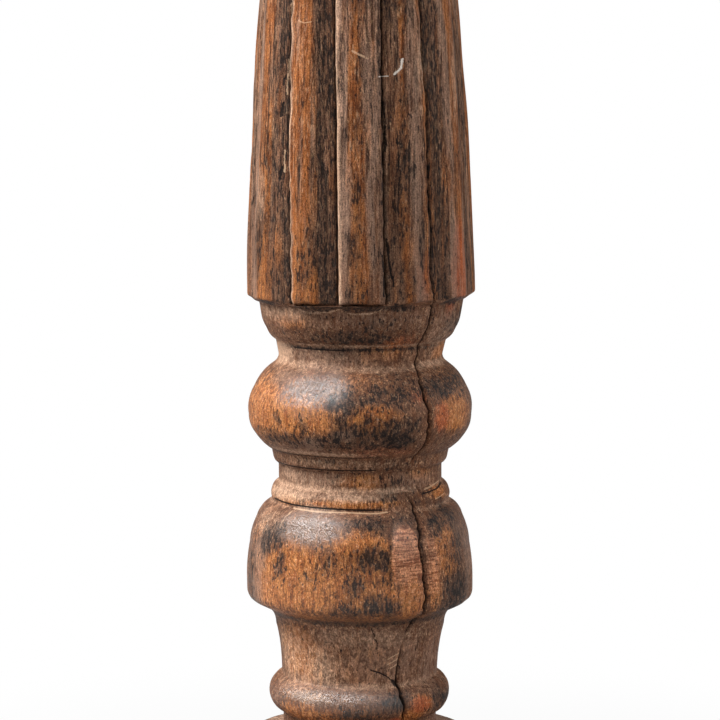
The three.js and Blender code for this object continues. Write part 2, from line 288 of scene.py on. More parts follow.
# Where each reed is rubbed to orange, grey and dark, across it in the same way.
PLAIN_RUB = [(0, 0), (0.2, 0.1), (0.42, 0.7), (0.6, 0.6), (0.8, 0.1), (1, 0)]
PLAIN_GREY = [(0, 0.3), (0.15, 0.5), (0.4, 0.1), (0.8, 0.4), (1, 0.2)]
RUBS = [PLAIN_RUB] * 3 + [
    [(0, 0.35), (0.3, 0.2), (0.4, 0.75), (0.6, 0.7), (0.7, 0.1), (1, 0.1)],
    [(0, 0), (0.06, 0.2), (0.12, 0.8), (0.5, 0.95), (0.58, 0.6), (0.66, 0.05), (1, 0.15)],
    [(0, 0), (0.24, 0.1), (0.32, 0.8), (0.55, 0.85), (0.64, 0.1), (1, 0)],
    [(0, 0), (0.36, 0.15), (0.44, 0.85), (0.52, 0.3), (0.6, 0.1), (0.82, 0.15), (0.89, 0.75),
     (0.95, 0.3), (1, 0)],
    [(0, 0.2), (0.07, 0.65), (0.13, 0.15), (0.42, 0.05), (0.52, 0.6), (0.6, 0.95), (0.7, 0.9),
     (0.79, 0.3), (0.86, 0.6), (1, 0.1)],
] + [PLAIN_RUB] * 4
GREYS = [PLAIN_GREY] * 3 + [
    [(0, 0.7), (0.3, 0.75), (0.4, 0.1), (0.6, 0.1), (0.75, 0.3), (1, 0.1)],
    [(0, 0.6), (0.06, 0.8), (0.14, 0.2), (0.55, 0), (1, 0.05)],
    [(0, 0.9), (0.14, 0.85), (0.28, 0.45), (0.34, 0.05), (0.58, 0.1), (0.66, 0.65), (0.95, 0.6), (1, 0)],
    [(0, 0), (0.5, 0.1), (0.62, 0.8), (0.78, 0.85), (0.85, 0.2), (1, 0.1)],
    [(0, 0.1), (0.28, 0.15), (0.37, 0.85), (0.46, 0.85), (0.54, 0.1), (0.74, 0.3), (0.82, 0.8), (1, 0.7)],
] + [PLAIN_GREY] * 4
# The dark amounts rise towards the grooves. The left part of reed 6, right of the front reed, is painted
# shade.
DARKS = [[(0, 0.5), (0.15, 0.2), (0.5, 0), (0.85, 0.3), (1, 0.5)]] * 3 + [
    [(0, 0), (0.6, 0.1), (0.72, 0.6), (0.95, 0.7), (1, 1)],
    [(0, 0.6), (0.08, 0), (0.58, 0), (0.66, 0.75), (0.9, 0.65), (1, 1)],
    [(0, 0.2), (0.1, 0), (0.9, 0.1), (0.97, 0.6), (1, 1)],
    [(0, 0.6), (0.08, 0.3), (0.36, 0.36), (0.46, 0.1), (0.9, 0.15), (1, 0.9)],
    [(0, 0.7), (0.1, 0.75), (0.3, 0.65), (0.38, 0.1), (0.78, 0.1), (0.9, 0.6), (1, 0.7)],
] + [[(0, 0.6), (0.15, 0.4), (0.5, 0.1), (0.85, 0.3), (1, 0.6)]] * 4

# Colour on the reeds, in the same form as the next table.
REED_PATCHES = {"dark": [
    (-58, 203.5, 8, 1.2, 0.8), (58, 203, 8, 1.5, 1), (20, 202, 9, 1.5, 0.8), (-30, 214, 6, 9, 0.62),
    (-25, 220, 6, 14, 0.6), (-5, 220, 6, 9, 0.6), (-2, 238, 4, 7, 0.55), (-8, 258, 3, 9, 0.45),
    (-56, 228, 5, 12, 0.6), (-57, 250, 4, 9, 0.6), (-52, 262, 3, 7, 0.5), (20, 228, 6, 12, 0.6),
    (24, 258, 5, 8, 0.5), (3, 270, 3, 6, 0.4), (-33, 236, 2.5, 6, 0.45), (-63, 223, 6, 14, 0.75),
    (-50, 212, 9, 7, 0.55), (-26, 210, 8, 5, 0.5), (72, 220, 5, 16, 0.7), (17, 240, 5, 12, 0.4),
    (-2, 207, 7, 7, 0.6), (-28, 205, 9, 5, 0.45), (44, 250, 4, 14, 0.7), (24, 212, 6, 8, 0.55),
    (27, 300, 5, 10, 0.7), (24, 245, 6, 10, 0.7), (33, 223, 4, 14, 0.6), (-1, 300, 5, 8, 0.45),
    (-1, 279, 4, 8, 0.45), (7, 221, 5, 10, 0.5), (34, 255, 4, 8, 0.5), (26, 268, 5, 7, 0.6),
    (7, 268, 5, 8, 0.4), (-2, 230, 5, 6, 0.5), (-3, 258, 5, 7, 0.5),
], "dust_and_highlight": [
    (-63, 237, 4, 8, 0.5), (62, 274, 3, 12, 0.5), (36, 279, 4, 9, 0.5), (13.6, 235, 1.5, 40, 0.3),
], "red": [
    (60, 214, 8, 16, 0.9), (33, 212, 6, 12, 0.5),
]}

# Colour on the turned part: (angle, height, half width in degrees, half height, amount).
PATCHES = {"orange": [
    (-64, 167.5, 24, 10, 0.9), (-36, 166, 22, 6.5, 0.95), (-12, 166, 10, 4.5, 0.6),
    (6, 166.5, 12, 4.5, 1), (12, 174, 22, 4, 0.35), (62, 175, 16, 7, 0.5), (0, 127, 14, 4, 0.6),
    (62, 139, 12, 2, 0.8), (0, 87, 30, 9, 0.42), (57, 166.5, 13, 5.5, 1.2), (22, 174, 16, 3, 0.3),
    (4, 176, 16, 4, 0.35), (-38, 112, 30, 13.5, 0.95), (-5, 112, 26, 12, 0.85), (-12, 125, 12, 3, 0.5),
    (12, 106, 8, 7, 0.7), (-66, 118, 16, 12, 0.5), (52, 122, 10, 9, 0.8), (26, 107, 8, 7, 1),
    (41, 109, 4, 9, 0.9), (-48, 86, 22, 12, 0.75), (-20, 150.8, 44, 1.2, 0.25),
    (-42, 67.5, 18, 3.5, 0.8), (43, 69.5, 10, 3.2, 1), (-42, 197.5, 12, 3.5, 0.6),
    (12, 186, 18, 3, 0.6), (22, 188.5, 10, 3, 0.6), (70, 186, 12, 3, 0.8), (-8, 137.4, 30, 1.3, 1),
    (0, 124.5, 16, 4, 1), (15, 108.5, 6, 3, 0.9), (36, 66, 9, 3, 1), (-10, 67, 26, 3, 0.7),
    (4, 144.4, 22, 2.6, 0.75), (46, 146, 12, 2, 0.6), (-55, 137.5, 25, 2, 0.5), (-30, 145, 40, 3, 0.2),
    (150, 166, 40, 8, 0.8), (-130, 165, 34, 8, 0.8), (110, 114, 26, 13, 0.7), (-150, 112, 50, 13, 0.9),
    (170, 86, 40, 8, 0.5), (130, 68, 40, 4, 0.7), (-120, 68, 30, 4, 0.6),
], "red": [
    (46, 165.5, 6, 5.5, 0.75), (42, 69.5, 9, 3, 0.9), (24, 64.5, 7, 2, 0.8), (24, 190, 16, 3, 0.5),
    (32, 173, 7, 3, 0.5), (10, 155, 30, 3, 0.4), (-160, 170, 20, 6, 0.5),
], "dark": [
    (-4, 191.5, 32, 3.2, 0.62), (0, 146, 60, 3, 0.25), (14, 196, 18, 4, 0.45), (-9, 167, 3.5, 5, 1),
    (-5, 171, 9, 5, 0.65), (15, 162.5, 10, 4, 0.8), (-2, 163, 9, 3, 0.65), (26, 178, 12, 4, 0.5),
    (-34, 159, 24, 2.8, 0.5), (-6, 158.5, 26, 3, 0.47), (-4, 103.5, 12, 2.5, 0.6),
    (-24, 151.5, 14, 2, 0.4), (50, 175, 18, 3.6, 0.72), (-12, 160, 3, 4, 0.8), (-14, 171, 4, 3, 0.7),
    (-30, 163, 3, 4, 0.6), (-46, 165, 3, 3, 0.6), (2, 172, 4, 2, 0.7), (20, 159, 10, 2.8, 0.9),
    (25, 164, 8, 3, 0.6), (14, 174, 22, 4.5, 0.62), (-52, 158.5, 14, 2.2, 0.6), (60, 176, 22, 5, 0.6),
    (6, 131.5, 14, 2.4, 0.7), (-50, 126, 8, 4.5, 0.7), (47, 130, 8, 4, 0.7), (57, 119, 9, 6, 0.5),
    (6, 165, 15, 6, 0.42), (22, 179, 20, 2, 0.4), (-58, 124, 6, 5, 1), (-74, 112, 8, 10, 0.6),
    (-45, 115, 6, 5, 0.5), (-44, 119, 3, 3, 0.8), (5, 120.5, 9, 5, 0.72), (12, 120, 3, 4, 1),
    (11, 114, 3.5, 4, 0.5), (8, 105.5, 11, 4, 0.75), (5, 107.5, 4, 3, 0.8), (14, 104.5, 3, 4, 0.9),
    (46, 103, 8, 4, 0.6), (58, 107, 12, 8, 0.75), (-10, 118, 10, 5, 0.5), (-22, 116, 8, 4, 0.4),
    (-2, 112, 8, 6, 0.6), (-8, 105, 8, 4, 0.5), (62, 124, 5, 8, 0.6), (14, 129, 3, 4, 0.4),
    # (0, 98) on the next line is painted shade: a thin dark line in the crease under the drum.
    (19, 141, 10, 4, 0.55), (34, 133, 4, 3, 0.5), (0, 98, 90, 1.2, 0.6), (0, 67, 18, 3, 0.6),
    (24, 71.5, 12, 3, 0.7), (-56, 160, 12, 2, 0.5), (66, 70, 18, 4, 0.6), (24, 149.5, 20, 2, 0.35),
    # (0, 187.6) on the next line is painted shade: the shadow line on the neck under the bowl's lip.
    (0, 187.6, 90, 0.6, 0.9), (-10, 187, 14, 2, 0.5), (36, 139, 12, 4, 0.4), (62, 133, 8, 4, 0.7),
    (180, 157, 90, 4, 0.8), (180, 95, 90, 3.5, 0.7), (-110, 122, 14, 8, 0.7), (150, 104, 20, 5, 0.9),
    (0, 42, 200, 4, 0.6), (0, 37.4, 200, 1.6, 1.1), (100, 196, 40, 5, 0.8), (-130, 196, 40, 5, 0.7),
], "grey": [
    # The first three, on the top left of the ring, the drum and the bead, and (0, 54) on the base's top,
    # are partly painted highlight and partly dusty grey.
    (-30, 176, 20, 3, 0.3), (-32, 129.5, 20, 4.5, 1), (-20, 72.5, 36, 2.5, 0.6), (0, 198, 80, 4, 0.45),
    (62, 194, 18, 8, 0.5), (60, 80, 20, 8, 0.5), (-64, 118, 8, 7, 0.9), (-43, 199, 12, 3, 0.9),
    (-54, 178, 10, 3, 0.7), (-66, 108, 8, 8, 0.7), (-48, 76.5, 12, 3, 0.7), (76, 112, 10, 14, 0.6),
    (-80, 112, 8, 14, 0.6), (14, 86, 34, 9, 0.7), (0, 54, 200, 2.6, 0.7), (30, 144.5, 30, 3, 0.6),
    (-20, 90, 60, 5, 0.5), (-10, 163, 10, 3, 0.2), (-30, 140, 50, 2.2, 0.5), (-38, 145, 40, 3, 0.6),
    (-40, 155, 40, 3, 0.4), (-26, 157.5, 7, 3, 0.8), (-8, 161, 6, 2, 0.8), (-20, 185, 50, 3.5, 0.7),
    (140, 176, 40, 4, 0.4), (-140, 131, 40, 4, 0.5),
], "dust_and_highlight": [
    (-72, 185.5, 16, 4, 1.1), (-48, 182, 32, 1.5, 0.5), (14, 181.3, 46, 1, 0.45),
    (-30, 185, 24, 3, 0.25), (-6, 139.6, 20, 1.8, 0.6), (-32, 82, 18, 7, 0.6), (-35, 72.5, 14, 2, 0.5),
    (-58, 146, 12, 3, 0.5), (0, 189, 90, 0.5, 0.5), (-45, 141.6, 60, 0.9, 0.8),
    (20, 141.6, 22, 0.9, 0.6), (-60, 138.8, 28, 2.2, 0.85), (-44, 144, 36, 2.5, 0.45),
    (-30, 135.6, 18, 1.2, 0.6), (-44, 200, 12, 2.5, 0.4), (-62, 199.5, 16, 2.5, 0.5),
    (-58, 84, 20, 9, 0.55), (0, 93, 46, 4, 0.4), (0, 76.4, 90, 1, 0.5), (0, 56, 200, 2.2, 0.6),
    (-66, 130, 12, 4, 0.45), (-35, 154, 40, 0.8, 0.7), (-20, 150.5, 44, 1.5, 0.4),
    (-62, 130.5, 16, 3, 0.3), (60, 182, 25, 1.2, 0.6), (60, 190, 20, 8, 0.25),
    (180, 182, 110, 1.4, 0.6), (180, 135, 120, 0.8, 0.6), (180, 141.6, 120, 0.9, 0.5),
], "knot": [(40, 117, 4.5, 10, 0.8)], "gloss": [
    (-30, 173.5, 17, 6, 1), (-28, 129.5, 18, 5.5, 1.1), (-20, 71.5, 46, 4, 0.9),
    (-20, 106, 60, 10, 0.3), (24, 126, 8, 6, 0.4), (-17, 175.5, 9, 4.5, 1.15), (180, 170, 100, 9, 0.7),
    (180, 125, 100, 10, 0.7), (0, 48, 200, 8, 0.5),
]}
# A healed knot on the drum, a raised tongue with a sunken outline: angle, height, half width in
# degrees, half height.
TONGUE = (25, 115.5, 9.5, 17)
# Thin marks on the post: (width, (angle, height), ...). The scale is in millimetres a degree.
MARK_SCALE = 0.58
MARKS = {"scrapes": [
    (0.35, (-36, 293.4), (-32, 292.6), (-28, 293)), (0.7, (-4, 283.8), (-1, 282.8), (4, 281.4)),
    (0.5, (-44.6, 300), (-43.8, 292)), (0.6, (-44.5, 281), (-45, 270)),
    (0.5, (-45.3, 252), (-44.6, 245)), (0.45, (20, 85.4), (28, 87)), (0.45, (20.5, 83.6), (28.5, 85.2)),
    (0.4, (22, 82), (28, 83.4)),
    (0.45, (-47, 134.9), (-30, 134.7), (-8, 134.9), (10, 134.6), (17, 135)),
    (0.4, (48, 140.8), (60, 141.3), (72, 142)), (0.35, (56, 137.2), (70, 138.2)),
    (0.35, (-49, 129.5), (-47.5, 132), (-44, 134.8)),
], "scratches": [
    (0.35, (9.5, 275.6), (16, 275.8)), (0.75, (20, 276.4), (23.2, 278.2), (24.4, 281.2)),
], "cracks_and_shade_lines": [
    (0.6, (7.5, 82), (14.8, 80.8), (21, 79), (26.5, 77)), (1.7, (24.2, 77.6), (26, 76.6)),
    (0.5, (7.5, 96.5), (10, 93), (12, 90)), (1.3, (-47.2, 267), (-48, 263)),
    (1.3, (-46.6, 246.5), (-47.4, 243)), (1.2, (-70, 238), (-70.6, 233)),
    (1.5, (39.2, 247), (38.6, 239), (38.4, 231)), (0.8, (14.5, 224), (15.5, 216), (17.5, 209)),
    (0.8, (11.2, 219), (12.4, 213), (11.8, 206)), (0.7, (12.6, 268), (14.2, 261), (14, 252)),
    (0.6, (20, 256), (21.5, 246), (21, 238)), (0.7, (-72, 136.2), (-45, 135.9), (-20, 135.9)),
    (0.7, (-20, 135.9), (14, 135.6)), (0.5, (-72, 148.4), (-30, 148.4), (10, 148.6)),
    (0.4, (-68, 152.9), (-20, 152.9), (12, 153)), (0.5, (44, 139.6), (60, 140.2), (75, 141.3)),
    # The next line is painted shade, not a crack: the shadow line under the bowl's lip.
    (0.5, (-50, 187.6), (-10, 187.5)),
]}
# Where a knot has pulled the turned edges soft, in the tongue's form.
KNOTS = [(30, 138, 17, 11), (24, 78, 15, 4)]
# How wide the split stands open, and how far the post leans to the right, at heights up the post.
SPLIT_OPENING = [
    (31, 0.6), (50, 1.0), (62, 1.6), (74, 1.5), (78, 0.9), (92, 0.25), (98, 0.9), (104, 1.5),
    (125, 1.2), (134, 0.9), (139, 0.3), (150, 0.25), (156, 1.1), (172, 1.5), (178, 0.9), (186, 0.5),
    (200, 0.8), (208, 0.7), (260, 1.0), (300, 0.8), (454, 0.3),
]
LEAN = [
    (31, 0), (60, -0.15), (70, -0.3), (105, 0), (130, -0.1), (137, 0.1), (165, 0.05), (205, 0.35),
    (235, 0.1), (255, 0), (275, -0.25), (300, -0.45), (498, 0),
]


def shaft_radius(height):
    along = np.clip((height - REEDS_BOTTOM - REED_END) / SWELL_LENGTH, 0, None)
    curved = SWELL_DROP * np.minimum(along, 1) ** SWELL_POWER
    straight = SWELL_DROP * SWELL_POWER * np.maximum(along - 1, 0)
    return BLANK_RADIUS - curved - straight


def post_rows():
    """The post's outline, bottom to top, with the reeded shaft at its crown radius."""
    low, high = REEDS_BOTTOM + REED_END, REEDS_TOP - REED_END
    heights = np.linspace(low, high, 40)
    shaft = list(zip(shaft_radius(heights), heights))
    rounding = 0.28
    lower = outline(LOWER_TURNING + shaft[:3], rounding)
    lower = lower[lower[:, 1] < heights[1]]
    upper = outline(shaft[-3:] + UPPER_TURNING, rounding)
    upper = upper[upper[:, 1] > heights[-2]]
    middle = outline(shaft[1:-1], rounding)
    dense = np.concatenate([lower, middle[1:-1], upper])
    radius, height = dense.T
    in_shaft = (height > REEDS_BOTTOM + 9) & (height < REEDS_TOP - 9)
    in_flat_end = radius <= 12
    spacing = np.where(in_shaft, 2.4, 1.1)
    spacing = np.where(in_flat_end, 6.0, spacing)
    spacing = np.where(height > REEDS_TOP, spacing * 1.5, spacing)
    spacing = np.where(np.abs(height - REEDS_BOTTOM + 1) < 3, 0.45, spacing)
    return chosen_rows(dense, spacing)


def column_shares():
    """Places across each reed, crowded beside the grooves: (reed index, share across it)."""
    beside = [0, 0.017, 0.045, 0.085, 0.135, 0.195]
    reeds, shares = [], []
    for index in range(len(GROOVES)):
        faces_front = 2 <= index <= 8
        inner = 13 if faces_front else 8
        middle = np.linspace(beside[-1], 1 - beside[-1], inner + 1)[1:-1]
        across = np.concatenate([beside, middle, 1 - np.array(beside[:0:-1])])
        reeds.extend([index] * len(across))
        shares.extend(across)
    return np.array(reeds), np.array(shares)


def groove_angles(heights):
    """The angle of each groove at each height, with a slight wander. One row per height."""
    paths = []
    for index, stations in enumerate(GROOVES):
        path = looked_up(stations, heights)
        slow = np.array([noise.noise(Vector((0.3, index * 3.7, h / 26))) for h in heights])
        quick = np.array([noise.fractal(Vector((5.2, index, h / 3.4)), 0.7, 2.3, 3) for h in heights])
        paths.append(path + 0.8 * slow + RAGGED_GROOVES.get(index, 0.25) * quick)
    return np.array(paths).T


def across_reeds(tables, reeds, shares):
    """Looks up a value for each reed's own table, at each share across it."""
    found = np.zeros(shares.shape)
    for index, table in enumerate(tables):
        mine = np.broadcast_to(reeds == index, shares.shape)
        found[mine] = looked_up(table, shares[mine])
    return found


def patch_field(patches, degrees, heights):
    """The strongest of several soft round patches, at each point."""
    total = np.zeros(degrees.shape)
    for angle, height, width, tall, amount in patches:
        turn = (degrees - angle + 180) % 360 - 180
        distance = (turn / width) ** 2 + ((heights - height) / tall) ** 2
        total = np.maximum(total, amount * np.exp(-0.7 * distance ** 1.5))
    return total


def post_grid():
    """The post's points before carving: a row for each height, a column for each place on a reed."""
    rows = post_rows()
    crown, heights = rows[:, :1], rows[:, 1:]
    reeds, shares = column_shares()
    grooves = groove_angles(rows[:, 1])
    following = np.concatenate([grooves[:, 1:], grooves[:, :1] + 360], axis=1)
    gaps = (following - grooves)[:, reeds]
    degrees = grooves[:, reeds] + gaps * shares
    zero = 0 * degrees
    height = heights + zero
    in_reeds = soft_step(height, REEDS_BOTTOM + 0.9, REEDS_BOTTOM + 2.6)
    in_reeds *= 1 - soft_step(height, REEDS_TOP - 2.4, REEDS_TOP - 0.6)
    drift = 0.035 * noise_field(np.stack([reeds * 9.0 + zero, zero, height], -1), 8, 34, 1)
    return SimpleNamespace(
        crown=crown, levels=rows[:, 1], reeds=reeds, shares=shares, degrees=degrees, height=height,
        across=np.clip(shares + drift * np.sin(np.pi * shares), 0, 1), in_reeds=in_reeds,
        width=gaps * np.radians(1) * crown, smooth=around_axis(crown, degrees, height),
    )


def carved_depth(grid):
    """How deep the reeds' carving goes below the crown."""
    carving = across_reeds(REEDS, grid.reeds, grid.across)
    depth_scale = 0.3 + 0.7 * grid.crown / BLANK_RADIUS
    unevenness = 1 + 0.3 * noise_field(grid.smooth, 14, 30, 2)
    return carving * depth_scale * unevenness * grid.in_reeds


def hand_worked(grid, radius):
    """Gives the radius the lumps, fibres and gouges of a hand-worked surface."""
    lumps = 0.32 * noise_field(grid.smooth, 17, 40, 3) + 0.2 * noise_field(grid.smooth, 6, 22, 4)
    fibres = 0.16 * noise_field(grid.smooth, 2.1, 26, 5) * (0.6 + 0.9 * grid.in_reeds)
    gouges = 0.35 * soft_step(noise_field(grid.smooth, 5, 24, 6), 0.25, 0.6) * grid.in_reeds
    return radius + lumps + fibres - gouges


def split_shape(grid):
    """How wide the split is open at each height, its own hollow, and the slump of its edges."""
    far = 99
    from_split = np.where(grid.reeds == SPLIT, grid.shares * grid.width, far)
    from_split = np.where(grid.reeds == SPLIT - 1, (1 - grid.shares) * grid.width, from_split)
    opening = looked_up(SPLIT_OPENING, grid.levels)[:, None]
    hollow = np.exp(-(from_split / (0.22 + 0.2 * opening)) ** 2) * opening
    slump = np.exp(-(from_split / 1.8) ** 2) * opening * (1 - grid.in_reeds)
    return opening, hollow, slump


def softened(grid, radius):
    """Draws the turned edges towards a blurred outline beside each knot."""
    reach = 9
    width = 2 * reach + 1
    padded = np.pad(grid.crown[:, 0], reach, mode="edge")
    blurred = np.convolve(padded, np.ones(width) / width, "valid")[:, None]
    for knot in KNOTS:
        share = patch_field([(*knot, 1)], grid.degrees, grid.height)
        radius = radius + 0.85 * share * (blurred - grid.crown)
    return radius


def healed_knot(grid):
    """The knot's raised tongue and its sunken rim, each from 0 to 1."""
    middle, centre_height, half_width, half_height = TONGUE
    sideways = np.abs(grid.degrees - middle) / half_width
    upwards = np.abs(grid.height - centre_height) / half_height
    squareness = 2.6
    from_middle = (sideways ** squareness + upwards ** squareness) ** (1 / squareness)
    tongue = 1 - soft_step(from_middle, 0.8, 1.0)
    rim = np.exp(-((from_middle - 1.02) / 0.13) ** 2) * soft_step(grid.height, 104, 116)
    return tongue, rim


def lens_facets(grid, carving):
    """The radius of the facets at the reeds' lower ends, and where there may be one."""
    end_row = np.argmin(np.abs(grid.levels - REEDS_BOTTOM - REED_END))
    reed_end = grid.crown[end_row] - np.minimum(carving[end_row], LENS_DEPTH)
    slope = LENS_SLOPE + LENS_CURL * (2 * grid.shares - 1) ** 4
    facet = reed_end - slope * (REEDS_BOTTOM + 1.2 - grid.height)
    near_end = (grid.height < REEDS_BOTTOM + 1.4) & (grid.height > REEDS_BOTTOM - 6)
    return facet, np.isin(grid.reeds, LENS_REEDS) & near_end


def post_points(grid, radius):
    """The finished points, with ragged lower ends to the reeds and the post a little crooked."""
    near_end = soft_step(grid.height, REEDS_BOTTOM - 2, REEDS_BOTTOM + 1.2)
    near_end = near_end * (1 - soft_step(grid.height, REEDS_BOTTOM + 4, REEDS_BOTTOM + 14))
    ragged = 0.35 * noise_field(grid.smooth, 3.2, 40, 9) - 0.6 + 0.6 * np.sin(np.radians(grid.degrees))
    points = around_axis(np.maximum(radius, 0.4), grid.degrees, grid.height + ragged * near_end)
    points[..., 0] += looked_up(LEAN, grid.levels)[:, None]
    return points


def post_paint(grid, tongue, rim, in_lens, lens_edge):
    """The amounts that the wood's material reads."""
    degrees, height, in_reeds = grid.degrees, grid.height, grid.in_reeds
    values = {key: patch_field(patches, degrees, height) for key, patches in PATCHES.items()}
    for key, tables in (("orange", RUBS), ("grey", GREYS), ("dark", DARKS)):
        reeded = across_reeds(tables, grid.reeds, grid.across)
        values[key] = values[key] * (1 - in_reeds) + reeded * in_reeds
    values["red"] = values["red"] * (1 - in_reeds)

    values["knot"] = np.maximum(values["knot"], tongue * soft_step(height, 106, 118))
    # The reeds' down-facing lens facets get painted shade, and the knot's sunken rim a dark outline.
    values["dark"] = np.maximum(values["dark"], np.maximum(0.5 * rim, 0.6 * in_lens))
    # Painted highlight: a pale line down the left edge of some reeds, in the dusty tan colour.
    left_edge = np.exp(-((grid.shares - 0.055) / 0.045) ** 2)
    left_edge = np.isin(grid.reeds, PALE_EDGED) * left_edge * in_reeds
    values["dust_and_highlight"] = np.maximum(values["dust_and_highlight"], np.maximum(0.6 * lens_edge, 0.75 * left_edge))

    unrolled = np.stack([degrees * 0.6, 0 * degrees, height], -1)
    strips = noise_field(unrolled, 2.0, 26, 10)
    bands = noise_field(unrolled, 1.5, 22, 11)
    values["orange"] = values["orange"] + 0.8 * strips * in_reeds
    values["dark"] = values["dark"] - 0.5 * strips * in_reeds
    values["grey"] = values["grey"] + 0.8 * bands * in_reeds
    for key, patches in REED_PATCHES.items():
        values[key] = np.maximum(values[key], patch_field(patches, degrees, height))
    from_groove = np.minimum(grid.shares, 1 - grid.shares) * grid.width
    values["groove"] = np.exp(-(from_groove / 0.5) ** 2) * in_reeds
    values["carved"] = in_reeds * (0.5 + 0.5 * soft_step(height, REEDS_BOTTOM + 8, REEDS_BOTTOM + 50))
    return values


def build_post():
    grid = post_grid()
    carving = carved_depth(grid)
    opening, split, slump = split_shape(grid)
    tongue, rim = healed_knot(grid)
    radius = hand_worked(grid, grid.crown - carving)
    radius = softened(grid, radius - 1.9 * split - 0.12 * slump)
    radius = radius + 0.5 * tongue - 0.6 * rim
    facet, may_be_lens = lens_facets(grid, carving)
    in_lens = may_be_lens & (facet > radius)
    radius = np.where(in_lens, facet, radius)
    lens_edge = may_be_lens & ~in_lens & (facet > radius - 0.9) & (grid.height < REEDS_BOTTOM)
    values = post_paint(grid, tongue, rim, in_lens, lens_edge)
    values["split"] = np.clip(split * 1.4 / np.maximum(opening, 0.3), 0, 1) * soft_step(opening, 0.2, 0.6)
    return ring_mesh("post_wood_surface", post_points(grid, radius), values)


# ---- materials ----

def srgb(*parts):
    """A linear colour from ordinary 0 to 255 values."""
    parts = [part / 255 for part in parts]
    return [((part + 0.055) / 1.055) ** 2.4 if part > 0.04 else part / 12.92 for part in parts] + [1]


class Graph:
    """A short way to write the node tree of a material or a world."""

    def __init__(self, owner):
        owner.use_nodes = True
        self.owner = owner
        self.tree = owner.node_tree
        self.tree.nodes.clear()

    @cached_property
    def position(self):
        return self.node("TexCoord").outputs["Object"]

    def node(self, kind, inputs=None, **settings):
        made = self.tree.nodes.new("ShaderNode" + kind)
        for key, value in settings.items():
            setattr(made, key, value)
        for key, value in (inputs or {}).items():
            self.connect(value, made.inputs[key])
        return made

    def connect(self, value, socket):
        if isinstance(value, bpy.types.NodeSocket):
            self.tree.links.new(value, socket)
        else:
            socket.default_value = value

    def math(self, operation, first, second=0.0):
        return self.node("Math", {0: first, 1: second}, operation=operation).outputs[0]

    def times(self, first, second):
        return self.math("MULTIPLY", first, second)

    def vector(self, operation, first, second):
        key = "Scale" if operation == "SCALE" else 1
        return self.node("VectorMath", {0: first, key: second}, operation=operation).outputs[0]

    def mix(self, share, first, second):
        return self.node("Mix", {0: share, 6: first, 7: second}, data_type="RGBA").outputs[2]

    def between(self, share, first, second):
        """A plain value that goes from the first to the second."""
        return self.node("Mix", {0: share, 2: first, 3: second}).outputs[0]

    def stain(self, colour, mask, strength, tint):
        """A colour with a tint over it, where a mask says."""
        return self.mix(self.times(mask, strength), colour, srgb(*tint))

    def remap(self, value, low, high, to_low=0.0, to_high=1.0):
        inputs = {"Value": value, 1: low, 2: high, 3: to_low, 4: to_high}
        return self.node("MapRange", inputs, interpolation_type="SMOOTHSTEP").outputs[0]

    def attribute(self, name):
        return self.node("Attribute", attribute_name=name).outputs["Fac"]

    def stretched_noise(self, sizes, detail, roughness):
        """Noise whose features are about sizes millimetres long on the three axes."""
        scaled = self.vector("MULTIPLY", self.position, [1 / MM / size for size in sizes])
        inputs = {"Vector": scaled, "Scale": 1.0, "Detail": detail, "Roughness": roughness}
        return self.node("TexNoise", inputs).outputs["Fac"]

    def blend_of(self, *parts):
        """The sum of several values, each times its share."""
        total = self.times(*parts[0])
        for value, share in parts[1:]:
            total = self.math("ADD", total, self.times(value, share))
        return total

    def cover(self, amount, pattern, raggedness, edge):
        """A ragged mask: the painted amount, broken up by a pattern with a middle of one half."""
        offset = self.times(self.math("SUBTRACT", pattern, 0.5), raggedness)
        return self.remap(self.math("ADD", amount, offset), 0.5 - edge, 0.5 + edge)

    def unrolled(self, pattern):
        """The position across and up the unrolled surface, made to waver by a pattern."""
        parts = self.node("SeparateXYZ", {0: self.position}).outputs
        turn = self.math("ARCTAN2", parts[0], self.times(parts[1], -1.0))
        across = self.times(self.times(turn, 180 / math.pi), MARK_SCALE)
        sway = self.times(self.math("SUBTRACT", pattern, 0.5), 3.0)
        upwards = self.math("DIVIDE", parts[2], MM)
        return self.node("CombineXYZ", {0: self.math("ADD", across, sway), 1: upwards}).outputs[0]

    def lines(self, paths, pattern):
        """A mask of thin marks on the unrolled surface. Each path is (width, (angle, height), ...)."""
        place = self.unrolled(pattern)
        found = None
        for width, *stops in paths:
            flat = [Vector((angle * MARK_SCALE, height, 0)) for angle, height in stops]
            for start, end in zip(flat, flat[1:]):
                run = end - start
                beyond = self.vector("SUBTRACT", place, start)
                inputs = {0: beyond, 1: run / run.length_squared}
                share = self.node("VectorMath", inputs, operation="DOT_PRODUCT").outputs["Value"]
                share = self.node("Clamp", {"Value": share}).outputs[0]
                inputs = {0: beyond, 1: self.vector("SCALE", run, share)}
                gap = self.node("VectorMath", inputs, operation="DISTANCE").outputs["Value"]
                mark = self.remap(gap, width * 0.25, width * 0.6, 1, 0)
                found = mark if found is None else self.math("MAXIMUM", found, mark)
        return found

    def finish(self, colour, roughness, height, bump, distance, **fixed):
        bumps = {"Height": height, "Strength": bump, "Distance": distance * MM}
        normal = self.node("Bump", bumps).outputs[0]
        inputs = {"Base Color": colour, "Roughness": roughness, "Normal": normal}
        inputs.update({key.replace("_", " "): value for key, value in fixed.items()})
        surface = self.node("BsdfPrincipled", inputs)
        self.node("OutputMaterial", {0: surface.outputs[0]})
        return self.owner


def new_material(name):
    return Graph(bpy.data.materials.new(name))


